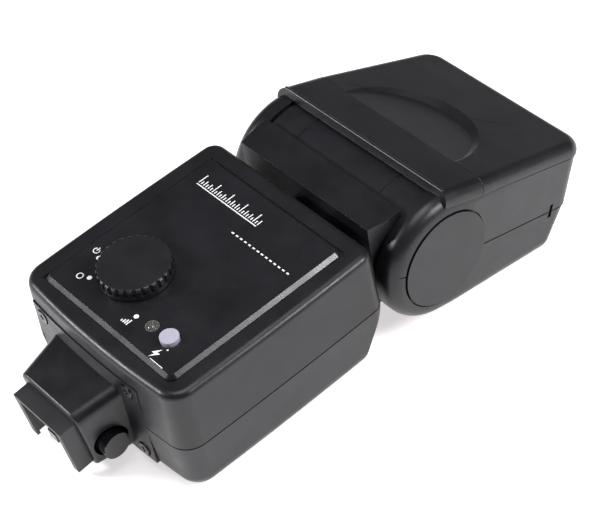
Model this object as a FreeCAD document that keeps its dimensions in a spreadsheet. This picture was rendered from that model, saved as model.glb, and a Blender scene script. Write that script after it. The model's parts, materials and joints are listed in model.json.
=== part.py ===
import FreeCAD, Part
import os
import math
import Sketcher

# Shoe-mount flash, lying on its front.  The local frames share one X axis:
#   body frame  Y from the foot end (0) to the neck, +Z to the panel, Z = 0 near the middle of the case
#   head frame  origin on the tilt axis, Y towards the lens, Z towards the head's back
#   plate frame origin where the pedestal meets the foot end, same directions as the body
#   shoe frame  the plate frame leaned a little
# The row frame has the resting surface at Z = 0 and the middle of the whole flash at X = Y = 0.

doc = FreeCAD.newDocument("speedlight")
sheet = doc.addObject("Spreadsheet::Sheet", "sizes")

SIZES = [
    # case
    ("body_width", 72.0),
    ("body_length", 74.0),
    ("back_depth", 17.6),
    ("front_depth", 23.5),
    ("parting", -4.0),
    ("side_crown", 0.5),
    ("foot_crown", 2.0),
    ("foot_corner", 7.0),
    ("neck_corner", 4.5),
    ("back_round", 2.2),
    ("front_round", 5.8),
    ("case_wall", 2.0),
    ("foot_end_wall", 6.6),
    ("front_chamfer_rise", 17.0),
    ("front_chamfer_run", 8.0),
    ("fit_gap", 0.15),
    ("seam", 0.4),
    ("body_lean", 5.1),
    ("sensor_x", 12.0),
    ("sensor_y", 16.0),
    ("sensor_radius", 3.45),
    # panel and its controls
    ("panel_width", 57.5),
    ("panel_length", 62.5),
    ("panel_start", 4.6),
    ("panel_thick", 1.5),
    ("panel_sink", 0.4),
    ("panel_corner", 2.5),
    ("dial_x", -8.8),
    ("dial_y", 23.0),
    ("dial_radius", 11.0),
    ("dial_rise", 3.9),
    ("dial_flutes", 28.0),
    ("flute_radius", 0.72),
    ("dial_shaft", 3.0),
    ("turn_gap", 0.06),
    ("lamp_x", 10.0),
    ("lamp_y", 13.6),
    ("lamp_radius", 2.1),
    ("pilot_x", 17.4),
    ("pilot_y", 13.9),
    ("pilot_radius", 2.8),
    ("pilot_rise", 1.3),
    ("pilot_travel", 0.8),
    ("slide_gap", 0.3),
    # battery bay
    ("cell_radius", 7.1),
    ("cell_length", 50.0),
    ("cell_pitch", 14.5),
    ("bay_y", 33.0),
    ("bay_z", -15.0),
    ("bay_wall", 1.2),
    ("door_thick", 1.9),
    ("door_gap", 0.35),
    ("door_pin", 0.8),
    ("door_knuckle", 1.75),
    # swivel neck
    ("swivel_z", -3.4),
    ("collar_radius", 13.0),
    ("collar_seat", 3.6),
    ("spindle_radius", 10.0),
    ("spindle_bore", 6.0),
    ("neck_gap", 3.3),
    ("bar_front", 54.3),
    ("bar_back", 57.7),
    ("bar_length", 11.5),
    ("bar_height", 20.9),
    ("neck_foot", 9.5),
    # tilt hinge
    ("neck_reach", 22.8),
    ("drum_radius", 20.0),
    ("drum_wall", 2.2),
    ("drum_half", 28.4),
    ("strip_thick", 0.5),
    ("strip_seam", 17.6),
    ("axle_radius", 4.0),
    ("head_tilt", 20.0),
    # head
    ("head_half", 36.4),
    ("lens_half", 33.3),
    ("head_reach", 59.2),
    ("head_top", 22.6),
    ("head_top_drop", 2.2),
    ("lens_base", -15.6),
    ("head_split", -1.0),
    ("ridge_back", 4.4),
    ("cover_start", 11.0),
    ("cover_skirt", 4.4),
    ("cover_lip", 0.6),
    ("cover_round", 3.6),
    ("bead_radius", 0.55),
    ("scoop_radius", 25.0),
    ("scoop_slope", 5.2),
    ("cheek_radius", 20.9),
    ("cheek_round", 4.5),
    ("ridge_inset", 0.15),
    ("cheek_gap", 0.6),
    ("drum_gap", 0.45),
    ("head_wall", 2.0),
    ("lens_corner", 7.0),
    ("lower_setback", 1.6),
    ("lower_slant", 4.6),
    ("disc_radius", 15.5),
    ("disc_depth", 1.2),
    ("disc_groove", 0.5),
    ("lens_width", 58.0),
    ("lens_height", 21.0),
    ("lens_thick", 2.0),
    ("lens_recess", 7.0),
    ("reflector_depth", 17.7),
    ("tube_radius", 1.9),
    # shoe
    ("shoe_x", -5.2),
    ("shoe_z", -8.1),
    ("shoe_lean", 5.7),
    ("plate_width", 48.5),
    ("plate_height", 31.6),
    ("plate_thick", 1.92),
    ("plate_inset", 2.6),
    ("plate_low", -12.0),
    ("tower_rise", 1.0),
    ("pedestal_root", 32.0),
    ("pedestal_tip", 26.6),
    ("pedestal_root_height", 25.6),
    ("pedestal_tip_height", 23.6),
    ("pedestal_length", 12.7),
    ("foot_width", 22.2),
    ("foot_length", 18.3),
    ("foot_height", 5.2),
    ("foot_wall", 1.5),
    ("foot_floor", 0.7),
    ("sole_thick", 0.4),
    ("foot_lip", 1.0),
    ("lock_radius", 4.3),
    ("lock_travel", 1.5),
    ("lock_rise", 2.4),
]


class Size:
    """A length or angle together with the sheet expression that gives it."""

    def __init__(self, value, text):
        self.value = value
        self.text = text

    def __add__(self, other):
        other = as_size(other)
        return Size(self.value + other.value, "(" + self.text + " + " + other.text + ")")

    def __sub__(self, other):
        other = as_size(other)
        return Size(self.value - other.value, "(" + self.text + " - " + other.text + ")")

    def __mul__(self, other):
        other = as_size(other)
        return Size(self.value * other.value, "(" + self.text + " * " + other.text + ")")

    def __truediv__(self, other):
        other = as_size(other)
        return Size(self.value / other.value, "(" + self.text + " / " + other.text + ")")

    def __neg__(self):
        return Size(-self.value, "(0 - " + self.text + ")")

    __radd__ = __add__

    def __rsub__(self, other):
        return as_size(other) - self

    def __rmul__(self, other):
        return self * other

    def root(self):
        return Size(math.sqrt(self.value), "sqrt(" + self.text + ")")


def as_size(number):
    if isinstance(number, Size):
        return number
    return Size(float(number), repr(float(number)))


S = {}
for row, (alias, value) in enumerate(SIZES, start=1):
    sheet.set("A%d" % row, alias.replace("_", " "))
    sheet.set("B%d" % row, repr(value))
    sheet.setAlias("B%d" % row, alias)
    S[alias] = Size(value, "sizes." + alias)
doc.recompute()


# ---------------------------------------------------------------- drawing helpers

def bind(thing, name, size):
    thing.setExpression(name, as_size(size).text)


def vector(x, y, z=0.0):
    return FreeCAD.Vector(as_size(x).value, as_size(y).value, as_size(z).value)


def new_body(name):
    body = doc.addObject("PartDesign::Body", name)
    body.Label = name
    return body


def new_sketch(body, role, offset=0.0):
    """An empty sketch on one of the body's origin planes, moved along that plane's normal."""
    plane = [item for item in body.Origin.OriginFeatures if item.Role == role][0]
    sketch = body.newObject("Sketcher::SketchObject", body.Name + "_sketch")
    sketch.AttachmentSupport = [(plane, "")]
    sketch.MapMode = "FlatFace"
    sketch.AttachmentOffset = FreeCAD.Placement(vector(0, 0, offset), FreeCAD.Rotation())
    bind(sketch, "AttachmentOffset.Base.z", offset)
    return sketch


def pin_point(sketch, geometry, end, x, y):
    """Fix one end of a curve at (x, y) with two bound dimensions."""
    for kind, size in (("DistanceX", as_size(x)), ("DistanceY", as_size(y))):
        index = sketch.addConstraint(Sketcher.Constraint(kind, -1, 1, geometry, end, size.value))
        bind(sketch, "Constraints[%d]" % index, size)


def draw_outline(sketch, corners, bulges=None):
    """A closed outline through the corners; bulges maps a side's number to its outward sag."""
    bulges = bulges or {}
    count = len(corners)
    first = sketch.GeometryCount
    for number, (x, y) in enumerate(corners):
        x_next, y_next = corners[(number + 1) % count]
        start, finish = vector(x, y), vector(x_next, y_next)
        if number in bulges:
            along = finish - start
            outward = FreeCAD.Vector(along.y, -along.x, 0).normalize()
            middle = (start + finish) * 0.5 + outward * as_size(bulges[number]).value
            sketch.addGeometry(Part.Arc(start, middle, finish))
        else:
            sketch.addGeometry(Part.LineSegment(start, finish))
    ends = []
    for number, (x, y) in enumerate(corners):
        curve = sketch.Geometry[first + number]
        forward = (curve.StartPoint - vector(x, y)).Length < 1e-6
        ends.append((1, 2) if forward else (2, 1))
    for number, (x, y) in enumerate(corners):
        here = first + number
        after = first + (number + 1) % count
        pin_point(sketch, here, ends[number][0], x, y)
        sketch.addConstraint(Sketcher.Constraint(
            "Coincident", here, ends[number][1], after, ends[(number + 1) % count][0]))
        if number in bulges:
            x_next, y_next = corners[(number + 1) % count]
            run = as_size(x_next) - x
            rise = as_size(y_next) - y
            sag = as_size(bulges[number])
            radius = (run * run + rise * rise) / (sag * 8) + sag / 2
            index = sketch.addConstraint(Sketcher.Constraint("Radius", here, radius.value))
            bind(sketch, "Constraints[%d]" % index, radius)


def draw_circle(sketch, x, y, radius):
    circle = Part.Circle(vector(x, y), FreeCAD.Vector(0, 0, 1), as_size(radius).value)
    number = sketch.addGeometry(circle)
    pin_point(sketch, number, 3, x, y)
    index = sketch.addConstraint(Sketcher.Constraint("Radius", number, as_size(radius).value))
    bind(sketch, "Constraints[%d]" % index, radius)


def rectangle(x_low, y_low, x_high, y_high):
    return [(x_low, y_low), (x_high, y_low), (x_high, y_high), (x_low, y_high)]


def pad(body, sketch, length, both_ways=False, backwards=False, taper=0.0):
    feature = body.newObject("PartDesign::Pad", body.Name + "_pad")
    feature.Profile = sketch
    bind(feature, "Length", length)
    feature.Midplane = both_ways
    feature.Reversed = backwards
    feature.TaperAngle = taper
    doc.recompute()
    return feature


def pocket(body, sketch, length, both_ways=False, backwards=False):
    before = body.Shape.Volume
    feature = body.newObject("PartDesign::Pocket", body.Name + "_pocket")
    feature.Profile = sketch
    bind(feature, "Length", length)
    feature.Midplane = both_ways
    feature.Reversed = backwards
    doc.recompute()
    if body.Shape.Volume >= before - 1e-6:
        raise RuntimeError("a pocket of " + body.Name + " cuts nothing")
    return feature


def round_edges(body, radius, chosen):
    """Fillet the edges of the body that the chosen function accepts."""
    tip = body.Tip
    names = ["Edge%d" % (number + 1) for number, edge in enumerate(tip.Shape.Edges) if chosen(edge)]
    if not names:
        raise RuntimeError("no edge to round on " + body.Name)
    feature = body.newObject("PartDesign::Fillet", body.Name + "_fillet")
    feature.Base = (tip, names)
    bind(feature, "Radius", radius)
    doc.recompute()
    return feature


def bevel_edges(body, size, chosen):
    tip = body.Tip
    names = ["Edge%d" % (number + 1) for number, edge in enumerate(tip.Shape.Edges) if chosen(edge)]
    feature = body.newObject("PartDesign::Chamfer", body.Name + "_bevel")
    feature.Base = (tip, names)
    bind(feature, "Size", size)
    doc.recompute()
    return feature


def is_upright(edge):
    box = edge.BoundBox
    return box.ZLength > 4 * max(box.XLength, box.YLength, 0.01)


def is_level_at(z):
    def test(edge):
        box = edge.BoundBox
        return abs(box.ZMin - z) < 0.02 and abs(box.ZMax - z) < 0.02
    return test


def box(name, x, y, z, length, width, height):
    solid = doc.addObject("Part::Box", name)
    for prop, size in (("Length", length), ("Width", width), ("Height", height),
                       ("Placement.Base.x", x), ("Placement.Base.y", y), ("Placement.Base.z", z)):
        bind(solid, prop, size)
    return solid


AXIS_TURN = {
    "X": FreeCAD.Rotation(FreeCAD.Vector(0, 1, 0), 90),
    "Y": FreeCAD.Rotation(FreeCAD.Vector(1, 0, 0), -90),
    "Z": FreeCAD.Rotation(),
}


def cylinder(name, axis, x, y, z, radius, length):
    """A cylinder that starts at (x, y, z) and runs along the positive axis."""
    solid = doc.addObject("Part::Cylinder", name)
    solid.Placement = FreeCAD.Placement(FreeCAD.Vector(), AXIS_TURN[axis])
    for prop, size in (("Radius", radius), ("Height", length),
                       ("Placement.Base.x", x), ("Placement.Base.y", y), ("Placement.Base.z", z)):
        bind(solid, prop, size)
    return solid


def cone(name, axis, x, y, z, radius_low, radius_high, length):
    solid = doc.addObject("Part::Cone", name)
    solid.Placement = FreeCAD.Placement(FreeCAD.Vector(), AXIS_TURN[axis])
    for prop, size in (("Radius1", radius_low), ("Radius2", radius_high), ("Height", length),
                       ("Placement.Base.x", x), ("Placement.Base.y", y), ("Placement.Base.z", z)):
        bind(solid, prop, size)
    return solid


def cut(name, base, *tools):
    result = base
    for number, tool in enumerate(tools):
        step = doc.addObject("Part::Cut", name + "_cut")
        step.Base = result
        step.Tool = tool
        result = step
    return result


def fuse(name, *shapes):
    step = doc.addObject("Part::MultiFuse", name + "_fuse")
    step.Shapes = list(shapes)
    return step


def group(name, *shapes):
    step = doc.addObject("Part::Compound", name + "_group")
    step.Links = list(shapes)
    return step


pieces = []


def keep(frame, name, thing):
    """Name a finished sub-part and note the frame that it is drawn in.

    A bare primitive has its own placement bound to the sheet, so a group of one carries the frame's.
    """
    if thing.TypeId in ("Part::Box", "Part::Cylinder", "Part::Sphere"):
        thing = group(name, thing)
    thing.Label = name
    pieces.append((frame, name, thing))
    return thing


def screw(name, axis, x, y, z, shank_length, shank=1.1, head=2.1, head_height=1.2, into=1.0):
    """A pan-head screw; the head's underside is at (x, y, z) and the shank runs along into * axis."""
    shift = {"X": (1, 0, 0), "Y": (0, 1, 0), "Z": (0, 0, 1)}[axis]
    low_head = -head_height if into > 0 else 0.0
    low_shank = 0.0 if into > 0 else -shank_length
    top = -head_height if into > 0 else head_height
    slot_low = top - 0.1 if into > 0 else top - 0.5
    start = [as_size(x), as_size(y), as_size(z)]

    def at(offset):
        return [start[i] + shift[i] * offset for i in range(3)]

    crown = cylinder(name + "_crown", axis, *at(low_head), head, head_height)
    rod = cylinder(name + "_rod", axis, *at(low_shank), shank, shank_length)
    corner = at(slot_low)
    size = [0.6, 0.6, 0.6]
    arms = []
    for arm in range(3):
        if shift[arm]:
            continue
        spread = list(size)
        spread[arm] = 2.4
        low = [corner[i] - (0 if shift[i] else spread[i] / 2) for i in range(3)]
        arms.append(box(name + "_cross", low[0], low[1], low[2], *spread))
    return cut(name, fuse(name, crown, rod), *arms)


def coil_spring(name, axis_base, axis_dir, radius, wire, length, turns):
    """A round-wire compression spring as a swept helix; its size is set when it is made."""
    helix = Part.makeHelix(length / turns, length, radius)
    section = Part.Wire([Part.makeCircle(wire, FreeCAD.Vector(radius, 0, 0), FreeCAD.Vector(0, 1, 0))])
    coil = Part.Wire(helix.Edges).makePipeShell([section], True, True)
    spring = doc.addObject("Part::Feature", name)
    turn = FreeCAD.Rotation(FreeCAD.Vector(0, 0, 1), axis_dir)
    coil.Placement = FreeCAD.Placement(axis_base, turn)
    whole = Part.Compound([coil])
    spring.Shape = coil if coil.ShapeType == "Solid" else whole.Solids[0]
    return spring


# ---------------------------------------------------------------- battery body: casings

half_width = S["body_width"] / 2
case_inner = half_width - S["case_wall"]
back_inner = S["back_depth"] - S["case_wall"]
front_inner = S["front_depth"] - S["case_wall"]
bay_length = S["cell_length"] + 3.4
bay_span = S["cell_pitch"] * 2
bay_left = -half_width + S["door_thick"] + 0.8
bay_end_y = S["bay_y"] + bay_span
door_low_y = S["bay_y"] - S["bay_wall"]
door_pin_y = bay_end_y + 3.2
door_low_z = S["bay_z"] - 0.6
door_high_z = S["bay_z"] + bay_span + 0.6
door_pin_x = -half_width + S["door_knuckle"] + 0.3


def case_outline(shrink):
    """Plan outline of the case: crowned sides and foot end, straight neck end."""
    edge = half_width - S["side_crown"] - shrink
    return [(-edge, shrink), (edge, shrink), (edge, S["body_length"] - shrink),
            (-edge, S["body_length"] - shrink)]


def case_bulges():
    return {0: S["foot_crown"], 1: S["side_crown"], 3: S["side_crown"]}


def round_corners(body):
    """Round the plan corners, the foot pair larger than the neck pair."""
    middle = S["body_length"].value / 2
    round_edges(body, S["foot_corner"], lambda edge: is_upright(edge) and edge.BoundBox.YMax < middle)
    round_edges(body, S["neck_corner"], lambda edge: is_upright(edge) and edge.BoundBox.YMin > middle)


def side_tool(name, x_low, x_high, outline):
    """A prism across the case from an outline in its side view."""
    tool = new_body(name)
    sketch = new_sketch(tool, "YZ_Plane", x_low)
    draw_outline(sketch, outline)
    pad(tool, sketch, as_size(x_high) - x_low)
    return tool


door_hole_low = rectangle(door_low_y - S["door_gap"], door_low_z - S["door_gap"],
                          door_pin_y + S["door_knuckle"] + S["door_gap"], door_high_z + S["door_gap"])

back_cover_body = new_body("back_cover_shape")
plan = new_sketch(back_cover_body, "XY_Plane", S["parting"])
draw_outline(plan, case_outline(0.0), case_bulges())
pad(back_cover_body, plan, S["back_depth"] - S["parting"], taper=-2.0)
round_corners(back_cover_body)
round_edges(back_cover_body, S["back_round"], is_level_at(S["back_depth"].value))
hollow = new_sketch(back_cover_body, "XY_Plane", S["parting"])
inner = case_inner - S["side_crown"] - 0.7
draw_outline(hollow, rectangle(-inner, S["foot_end_wall"], inner, S["body_length"] - S["case_wall"] - 0.6))
pocket(back_cover_body, hollow, back_inner - S["parting"], backwards=True)
seat = new_sketch(back_cover_body, "XY_Plane", S["back_depth"])
panel_half = S["panel_width"] / 2
panel_end = S["panel_start"] + S["panel_length"]
seat_low = rectangle(-panel_half - S["fit_gap"], S["panel_start"] - S["fit_gap"],
                     panel_half + S["fit_gap"], panel_end + S["fit_gap"])
draw_outline(seat, seat_low)
pocket(back_cover_body, seat, S["panel_sink"])
holes = new_sketch(back_cover_body, "XY_Plane", S["back_depth"])
draw_circle(holes, S["dial_x"], S["dial_y"], S["dial_shaft"] + 0.6)
draw_circle(holes, S["lamp_x"], S["lamp_y"], S["lamp_radius"] + S["fit_gap"])
draw_circle(holes, S["pilot_x"], S["pilot_y"], S["pilot_radius"] + S["slide_gap"])
pocket(back_cover_body, holes, S["case_wall"] + 1)
neck_hole = cylinder("neck_hole", "Y", 0, S["body_length"] - 6, S["swivel_z"],
                     S["collar_radius"] + S["fit_gap"], 8)
door_cut = side_tool("door_cut", -half_width - 1, -half_width + 6, door_hole_low)

# The pedestal's plate is let into the foot end, and its four screws bite into the thick end wall.
plate_half = S["plate_width"] / 2
plate_low = S["plate_low"]
pedestal_screw_x = plate_half - 4.4
screw_levels = (plate_low + 3.2, plate_low + S["plate_height"] - 3.2)
seat_parts = [box("plate_seat", -plate_half - S["fit_gap"], -6, plate_low - S["fit_gap"],
                  S["plate_width"] + S["fit_gap"] * 2, S["plate_inset"] + 6,
                  S["plate_height"] + S["fit_gap"] * 2)]
for side in (-1, 1):
    for level in screw_levels:
        seat_parts.append(cylinder("plate_screw_bore", "Y", pedestal_screw_x * side, 0, level, 1.1, 6.0))
plate_seat = fuse("plate_seat", *seat_parts)
plate_in_body = FreeCAD.Placement(vector(S["shoe_x"], 0, S["shoe_z"]), FreeCAD.Rotation())
shoe_turn = FreeCAD.Placement(FreeCAD.Vector(), FreeCAD.Rotation(FreeCAD.Vector(1, 0, 0), S["shoe_lean"].value))
plate_seat.Placement = plate_in_body
# A fine step round the rim leaves the dark line where the two shells meet.
rim_core = new_body("rim_core")
plan = new_sketch(rim_core, "XY_Plane", S["parting"] - S["seam"])
draw_outline(plan, case_outline(S["seam"]), case_bulges())
pad(rim_core, plan, S["seam"] * 2)
round_corners(rim_core)
rim_block = box("rim_block", -S["body_width"], -S["body_length"], S["parting"] - S["seam"],
                S["body_width"] * 2, S["body_length"] * 3, S["seam"] * 2)
rim_step = cut("rim_step", rim_block, rim_core)
keep("body", "back_cover", cut("back_cover", back_cover_body, neck_hole, door_cut, plate_seat, rim_step))

front_body = new_body("front_shell_shape")
plan = new_sketch(front_body, "XY_Plane", S["parting"])
draw_outline(plan, case_outline(0.0), case_bulges())
pad(front_body, plan, S["front_depth"] + S["parting"], backwards=True, taper=-3.0)
round_corners(front_body)
slope = new_sketch(front_body, "YZ_Plane")
reach = S["body_length"] + 1
slope_top = S["parting"] - 0.5
draw_outline(slope, [(reach, slope_top), (S["body_length"] - 1.2, slope_top),
                     (S["body_length"] - S["front_chamfer_run"], -S["front_chamfer_rise"]),
                     (S["body_length"] - S["front_chamfer_run"] - 4, -S["front_depth"] - 1),
                     (reach, -S["front_depth"] - 1)])
pocket(front_body, slope, S["body_width"] + 4, both_ways=True)
round_edges(front_body, S["front_round"], is_level_at(-S["front_depth"].value))
hollow = new_sketch(front_body, "XY_Plane", S["parting"])
neck_side = S["body_length"] - S["front_chamfer_run"] - S["case_wall"]
draw_outline(hollow, rectangle(-inner, S["foot_end_wall"], inner, neck_side))
pocket(front_body, hollow, front_inner + S["parting"] - 3.0)
floor_cut = new_sketch(front_body, "XY_Plane", -front_inner + 3.0)
draw_outline(floor_cut, rectangle(-inner + 4, S["foot_end_wall"] + 0.5, inner - 4, neck_side - 3))
pocket(front_body, floor_cut, 3.0)
sensor_hole = new_sketch(front_body, "XY_Plane", -front_inner + 1)
draw_circle(sensor_hole, S["sensor_x"], S["sensor_y"], S["sensor_radius"] + S["fit_gap"])
pocket(front_body, sensor_hole, S["case_wall"] + 3)
screw_holes = []
CASE_SCREWS = [(-1, 8.0), (1, 8.0), (1, 58.0)]
case_screw_x = half_width - 10.5
for side, y in CASE_SCREWS:
    place = (case_screw_x * side, y, -S["front_depth"] - 0.5)
    screw_holes.append(cylinder("case_screw_well", "Z", *place, 2.4, 2.0))
    screw_holes.append(cylinder("case_screw_bore", "Z", *place, 1.25, 6))
keep("body", "front_shell", cut("front_shell", front_body, neck_hole, door_cut, plate_seat, *screw_holes))
case_screws = []
for side, y in CASE_SCREWS:
    case_screws.append(screw("case_screw", "Z", case_screw_x * side, y, -S["front_depth"] + 1.5, 4.0, into=1.0))
keep("body", "case_screws", group("case_screws", *case_screws))

# ---------------------------------------------------------------- battery body: panel and controls

panel_top = S["back_depth"] - S["panel_sink"] + S["panel_thick"]
panel_base = S["back_depth"] - S["panel_sink"]
panel_body = new_body("control_panel")
plan = new_sketch(panel_body, "XY_Plane", panel_base)
draw_outline(plan, rectangle(-panel_half, S["panel_start"], panel_half, panel_end))
pad(panel_body, plan, S["panel_thick"])
round_edges(panel_body, S["panel_corner"], is_upright)
bevel_edges(panel_body, S["panel_thick"] - S["panel_sink"], is_level_at(panel_top.value))
holes = new_sketch(panel_body, "XY_Plane", panel_top)
draw_circle(holes, S["dial_x"], S["dial_y"], S["dial_shaft"] + 0.6)
draw_circle(holes, S["lamp_x"], S["lamp_y"], S["lamp_radius"] + S["fit_gap"])
draw_circle(holes, S["pilot_x"], S["pilot_y"], S["pilot_radius"] + S["slide_gap"])
pocket(panel_body, holes, S["panel_thick"] + 1)
keep("body", "control_panel", panel_body)

board_top = S["back_depth"] - 9.0
board_thick = 1.2
board_start = S["foot_end_wall"] + 0.4
board_half = inner - 3.8
keep("body", "main_board", box("main_board_blank", -board_half, board_start, board_top - board_thick,
                               board_half * 2, S["bay_y"] - S["bay_wall"] - 0.7 - board_start, board_thick))

dial_base = panel_top + 0.3
dial = new_body("power_dial_knob")
plan = new_sketch(dial, "XY_Plane", dial_base)
draw_circle(plan, 0, 0, S["dial_radius"])
pad(dial, plan, S["dial_rise"])
round_edges(dial, 0.8, is_level_at(dial_base.value + S["dial_rise"].value))
plan = new_sketch(dial, "XY_Plane", dial_base + 1.2)
draw_circle(plan, S["dial_radius"], 0, S["flute_radius"])
groove = pocket(dial, plan, S["dial_rise"] + 1, backwards=True)
flutes = dial.newObject("PartDesign::PolarPattern", "power_dial_flutes")
flutes.Originals = [groove]
flutes.Axis = (plan, ["N_Axis"])
flutes.Angle = 360
bind(flutes, "Occurrences", S["dial_flutes"])
dial.Tip = flutes
doc.recompute()
dial.Placement = FreeCAD.Placement(vector(S["dial_x"], S["dial_y"]), FreeCAD.Rotation())
bind(dial, "Placement.Base.x", S["dial_x"])
bind(dial, "Placement.Base.y", S["dial_y"])
shaft_low = board_top + 4.2
shaft = cylinder("dial_shaft", "Z", S["dial_x"], S["dial_y"], shaft_low, S["dial_shaft"],
                 dial_base - shaft_low + 0.5)
keep("body", "power_dial", fuse("power_dial", dial, shaft))
pot = box("pot_case", S["dial_x"] - 6, S["dial_y"] - 6, board_top, 12, 12, 5.6)
pot_hole = cylinder("pot_hole", "Z", S["dial_x"], S["dial_y"], shaft_low - 0.4, S["dial_shaft"] + S["turn_gap"], 9)
keep("body", "dial_potentiometer", cut("pot", pot, pot_hole))

pilot_low = board_top + 3.3 + S["pilot_travel"]
pilot_stem = cylinder("pilot_stem", "Z", S["pilot_x"], S["pilot_y"], pilot_low, 1.4,
                      panel_base - S["case_wall"] - 1.2 - pilot_low)
pilot_flange = cylinder("pilot_flange", "Z", S["pilot_x"], S["pilot_y"], panel_base - S["case_wall"] - 1.7,
                        S["pilot_radius"] + 0.5, 1.0)
pilot_cap_low = panel_base - S["case_wall"] - 1.2
pilot_cap_rise = panel_top + S["pilot_rise"] - pilot_cap_low
pilot_cap = cylinder("pilot_cap", "Z", S["pilot_x"], S["pilot_y"], pilot_cap_low, S["pilot_radius"], pilot_cap_rise)
keep("body", "pilot_button", fuse("pilot_button", pilot_stem, pilot_flange, pilot_cap))
switch_base = box("switch_case", S["pilot_x"] - 3, S["pilot_y"] - 3, board_top, 6, 6, 2.4)
switch_top = cylinder("switch_plunger", "Z", S["pilot_x"], S["pilot_y"], board_top + 2.4, 1.2, 0.8)
keep("body", "pilot_switch", fuse("pilot_switch", switch_base, switch_top))

lamp_low = board_top
lamp_body = cylinder("lamp_body", "Z", S["lamp_x"], S["lamp_y"], lamp_low, S["lamp_radius"], panel_top - lamp_low)
lamp_dome = doc.addObject("Part::Sphere", "lamp_dome")
for prop, size in (("Radius", S["lamp_radius"]), ("Placement.Base.x", S["lamp_x"]),
                   ("Placement.Base.y", S["lamp_y"]), ("Placement.Base.z", panel_top - S["lamp_radius"] * 0.7)):
    bind(lamp_dome, prop, size)
keep("body", "ready_lamp", fuse("ready_lamp", lamp_body, lamp_dome))

capacitor = cylinder("flash_capacitor", "X", -24, 16.6, -7.5, 9.0, 36)
keep("body", "flash_capacitor", capacitor)
transformer_core = box("transformer_core", 17, 19, board_top - board_thick - 12, 13, 11, 12)
keep("body", "step_up_transformer", transformer_core)
chips = [box("chip_low", 3, 22, board_top - board_thick - 1.8, 9, 7, 1.8),
         box("chip_high", -27, 20, board_top, 8, 8, 1.8)]
keep("body", "board_chips", group("board_chips", *chips))
sensor_rim = cylinder("sensor_rim", "Z", S["sensor_x"], S["sensor_y"], -S["front_depth"] + 0.2, S["sensor_radius"], 4.2)
keep("body", "sensor_window", sensor_rim)
sensor_cell = cylinder("photo_sensor", "Z", S["sensor_x"], S["sensor_y"], -S["front_depth"] + 4.4,
                       S["sensor_radius"] - 1.25, 1.2)
keep("body", "photo_sensor", sensor_cell)

# ---------------------------------------------------------------- battery body: cells and door

bay_outer_y = S["bay_y"] - S["bay_wall"]
tray_left = -inner + 0.2
tray_blank = box("tray_blank", tray_left, bay_outer_y, S["bay_z"] - S["bay_wall"],
                 bay_left + bay_length + S["bay_wall"] - tray_left, bay_span + S["bay_wall"] * 2,
                 bay_span + S["bay_wall"] * 2)
tray_room = box("tray_room", bay_left - 1, S["bay_y"], S["bay_z"], bay_length + 1, bay_span, bay_span)
keep("body", "battery_tray", cut("battery_tray", tray_blank, tray_room))
cells = []
springs = []
plates = []
contact_x = bay_left + bay_length - 0.5
cell_left = contact_x - 0.9 - S["cell_length"] + 0.4
door_contacts = []
for column in range(2):
    for level in range(2):
        y = S["bay_y"] + S["cell_pitch"] * (column + 0.5)
        z = S["bay_z"] + S["cell_pitch"] * (level + 0.5)
        barrel = cylinder("cell_barrel", "X", cell_left, y, z, S["cell_radius"], S["cell_length"] - 1.4)
        tip = cylinder("cell_tip", "X", cell_left + S["cell_length"] - 1.4, y, z, 2.6, 1.0)
        cells.append(fuse("cell", barrel, tip))
        plates.append(box("contact_plate", contact_x, y - 4.5, z - 4.5, 0.4, 9, 9))
        springs.append(cone("contact_cone", "X", contact_x - 0.9, y, z, 2.2, 3.6, 0.9))
        door_face = -half_width + 0.3 + S["door_thick"]
        door_plate_part = box("door_contact_plate", door_face, y - 4.5, z - 4.5, 0.4, 9, 9)
        door_cone = cone("door_contact_cone", "X", door_face + 0.4, y, z, 3.6, 2.2, cell_left - door_face - 0.5)
        door_contacts.append(fuse("door_contact", door_plate_part, door_cone))
keep("body", "battery_cells", group("battery_cells", *cells))
keep("body", "battery_contacts", group("battery_contacts", *[
    fuse("battery_contact", plate, spring) for plate, spring in zip(plates, springs)]))

door_height = door_high_z - door_low_z
door_plate = box("door_plate", -half_width + 0.3, door_low_y, door_low_z, S["door_thick"],
                 door_pin_y - door_low_y, door_height)
knuckle = cylinder("door_barrel", "Z", door_pin_x, door_pin_y, door_low_z + 3, S["door_knuckle"], door_height - 6)
knuckle_room_low = box("knuckle_room", -half_width - 1, door_pin_y - 2.2, door_low_z - 1, 6, 6, 3.7)
knuckle_room_high = box("knuckle_room", -half_width - 1, door_pin_y - 2.2, door_high_z - 2.7, 6, 6, 3.7)
pin_hole = cylinder("door_pin_hole", "Z", door_pin_x, door_pin_y, door_low_z - 1,
                    S["door_pin"] + S["turn_gap"], door_height + 2)
keep("body", "battery_door", cut("battery_door", fuse("battery_door", door_plate, knuckle),
                                 knuckle_room_low, knuckle_room_high, pin_hole))
keep("body", "door_contacts", group("door_contacts", *door_contacts))
door_pin = cylinder("door_hinge_pin", "Z", door_pin_x, door_pin_y, door_low_z, S["door_pin"], door_height)
keep("body", "door_hinge_pin", door_pin)
lugs = []
bracket_x = -half_width + 6
for low in (door_low_z - 0.3, door_high_z - 2.2):
    lug = box("door_lug", door_pin_x - 1.4, door_pin_y - 1.4, low, bracket_x - door_pin_x + 1.4, 3.0, 2.5)
    lugs.append(cut("door_lug", lug, cylinder("lug_hole", "Z", door_pin_x, door_pin_y, low - 1, S["door_pin"], 5)))
lug_bridge = box("lug_bridge", bracket_x - 1.0, door_pin_y - 1.4, door_low_z - 0.3, 1.0, 3.0, door_height + 0.6)
keep("body", "door_hinge_bracket", fuse("door_hinge_bracket", lug_bridge, *lugs))

# ---------------------------------------------------------------- shoe pedestal and foot (shoe frame)


def bow_at(x):
    """How far the foot end stands out at a distance x from the case's middle."""
    share = x / half_width
    return S["foot_crown"] * (1 - share * share)


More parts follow.
